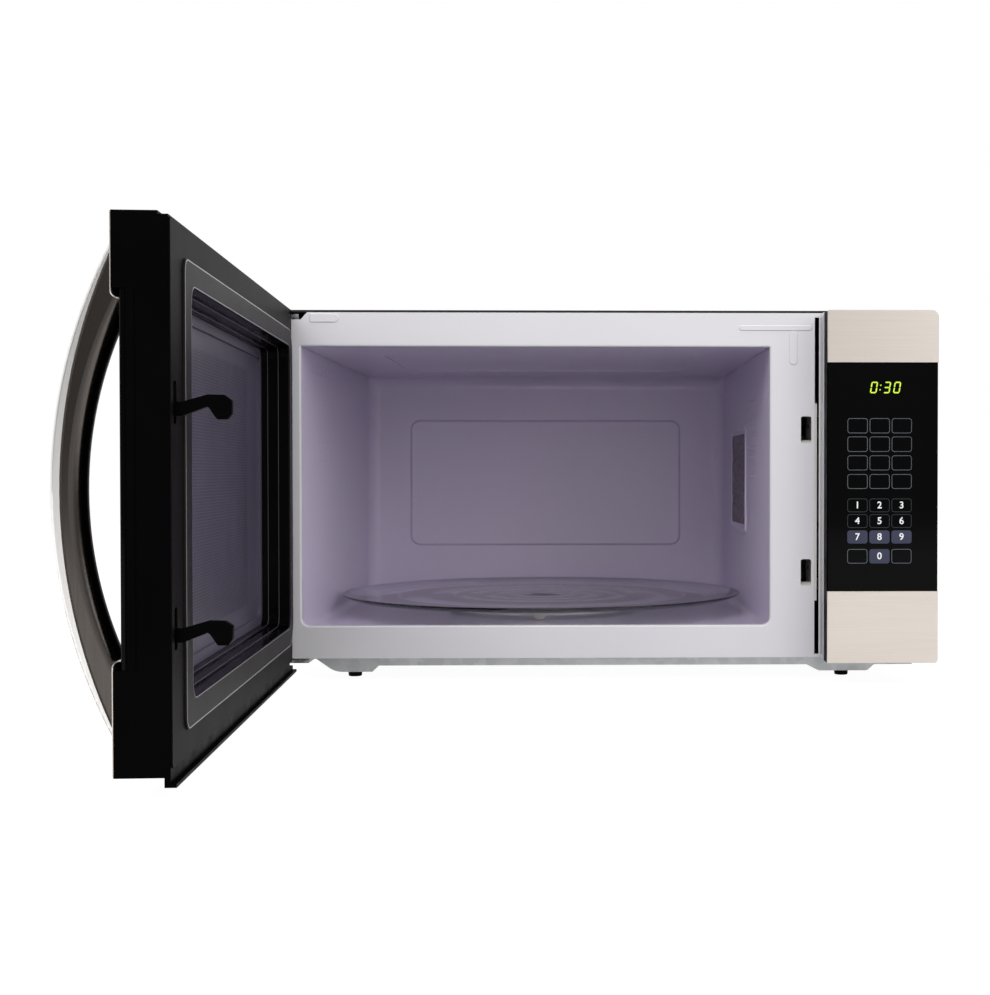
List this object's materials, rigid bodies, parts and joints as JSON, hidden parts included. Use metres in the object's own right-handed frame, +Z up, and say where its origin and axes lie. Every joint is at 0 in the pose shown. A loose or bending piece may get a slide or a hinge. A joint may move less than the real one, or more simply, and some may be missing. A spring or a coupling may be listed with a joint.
{
  "type": "countertop microwave oven",
  "caption": "Countertop microwave oven with its side-hinged window door open, bow handle, touch panel and glass turntable.",
  "frame": {"origin": "centre of the four feet, on the plane they stand on", "axes": "+X to the right across the front, +Y into the oven from its front, +Z up"},
  "size_m": [0.6306, 0.97, 0.3413],
  "materials": {
    "frame_enamel": "gloss",
    "cavity_enamel": "satin",
    "cabinet_paint": "satin",
    "plated_sheet": "satin",
    "plated_steel": "satin",
    "trim_steel": "brushed",
    "black_plastic": "matte",
    "gloss_black": "gloss",
    "black_glass": "gloss",
    "door_glass": "gloss",
    "membrane": "matte",
    "circuit_board": "satin",
    "white_plastic": "satin",
    "grey_plastic": "satin",
    "mica": "matte",
    "aluminium": "satin",
    "core_iron": "satin",
    "lamp_glass": "gloss",
    "tray_glass": "gloss",
    "foot_rubber": "matte",
    "dark_paint": "satin",
    "screen_paint": "satin",
    "grip_steel": "satin"
  },
  "bodies": {
    "oven": {"front_frame": "frame_enamel", "cavity_shell": "cavity_enamel", "cavity_back": "cavity_enamel", "cavity_ceiling": "cavity_enamel", "outer_cabinet": "cabinet_paint", "back_panel": "plated_sheet", "cord_gland": "black_plastic", "base_plate": "plated_sheet", "feet": "foot_rubber", "hinge_upper": "plated_steel", "hinge_lower": "plated_steel", "hinge_pins": "plated_steel", "hinge_screws": "plated_steel", "cabinet_screws": "plated_steel", "control_panel_housing": "black_plastic", "panel_top_trim": "trim_steel", "panel_bottom_trim": "trim_steel", "keypad_glass": "black_glass", "keypad_membrane": "membrane", "display_module": "black_plastic", "control_board": "circuit_board", "interlock_bracket": "white_plastic", "door_switch_primary": "black_plastic", "door_switch_monitor": "black_plastic", "door_switch_secondary": "black_plastic", "waveguide": "plated_sheet", "waveguide_cover": "mica", "magnetron": "aluminium", "hv_transformer": "core_iron", "hv_capacitor": "aluminium", "capacitor_clamp": "plated_sheet", "hv_diode": "black_plastic", "fan_shroud": "plated_sheet", "fan_motor": "core_iron", "air_duct": "grey_plastic", "lamp_holder": "plated_sheet", "oven_lamp": "lamp_glass", "noise_filter": "circuit_board", "thermal_cutout": "black_plastic", "turntable_motor": "plated_steel"},
    "door": {"door_outer_frame": "black_plastic", "door_choke_pan": "dark_paint", "door_window_frame": "gloss_black", "door_screen": "screen_paint", "door_inner_cover": "dark_paint", "door_glass": "door_glass", "door_top_cap": "trim_steel", "door_bottom_cap": "trim_steel", "handle_bar": "trim_steel", "handle_grip": "grip_steel", "handle_screws": "plated_steel", "latch_spring": "plated_steel"},
    "latch": {"latch_hooks": "black_plastic"},
    "turntable_drive": {"turntable_coupler": "white_plastic"},
    "tray": {"glass_tray": "tray_glass"},
    "roller_guide": {"roller_ring": "white_plastic"},
    "wheel_1": {"roller_wheel_1": "white_plastic"},
    "wheel_2": {"roller_wheel_2": "white_plastic"},
    "wheel_3": {"roller_wheel_3": "white_plastic"},
    "fan": {"fan_impeller": "grey_plastic"}
  },
  "joints": [
    {"name": "door_hinge", "type": "hinge", "parent": "oven", "child": "door", "pos_m": [-0.2924, -0.2445, 0.178], "axis": [0, 0, 1], "range_deg": [-15, 87]},
    {"name": "latch_slide", "type": "slide", "parent": "door", "child": "latch", "axis": [0, 0, 1], "range_m": [0, 0.007], "stiffness_N_per_m": 600, "springref_m": -0.005, "deforming": ["latch_spring"]},
    {"name": "turntable_spin", "type": "hinge", "parent": "oven", "child": "turntable_drive", "pos_m": [-0.05795, -0.0089, 0.045], "axis": [0, 0, 1], "continuous": true},
    {"name": "tray_lift", "type": "slide", "parent": "turntable_drive", "child": "tray", "axis": [0, 0, 1], "range_m": [0, 0.06]},
    {"name": "roller_guide_spin", "type": "hinge", "parent": "oven", "child": "roller_guide", "pos_m": [-0.05795, -0.0089, 0.0515], "axis": [0, 0, 1], "continuous": true},
    {"name": "wheel_1_spin", "type": "hinge", "parent": "roller_guide", "child": "wheel_1", "pos_m": [0.03038, 0.0421, 0.0515], "axis": [0.866, 0.5, 0], "continuous": true},
    {"name": "wheel_2_spin", "type": "hinge", "parent": "roller_guide", "child": "wheel_2", "pos_m": [-0.14628, 0.0421, 0.0515], "axis": [-0.866, 0.5, 0], "continuous": true},
    {"name": "wheel_3_spin", "type": "hinge", "parent": "roller_guide", "child": "wheel_3", "pos_m": [-0.05795, -0.1109, 0.0515], "axis": [0, -1, 0], "continuous": true},
    {"name": "fan_spin", "type": "hinge", "parent": "oven", "child": "fan", "pos_m": [0.232, 0.196, 0.188], "axis": [0, 1, 0], "continuous": true}
  ],
  "couplings": [
    {"joint": "roller_guide_spin", "follows": "turntable_spin", "ratio": 0.5},
    {"joint": "wheel_1_spin", "follows": "turntable_spin", "ratio": -7.9439},
    {"joint": "wheel_2_spin", "follows": "turntable_spin", "ratio": -7.9439},
    {"joint": "wheel_3_spin", "follows": "turntable_spin", "ratio": -7.9439}
  ]
}
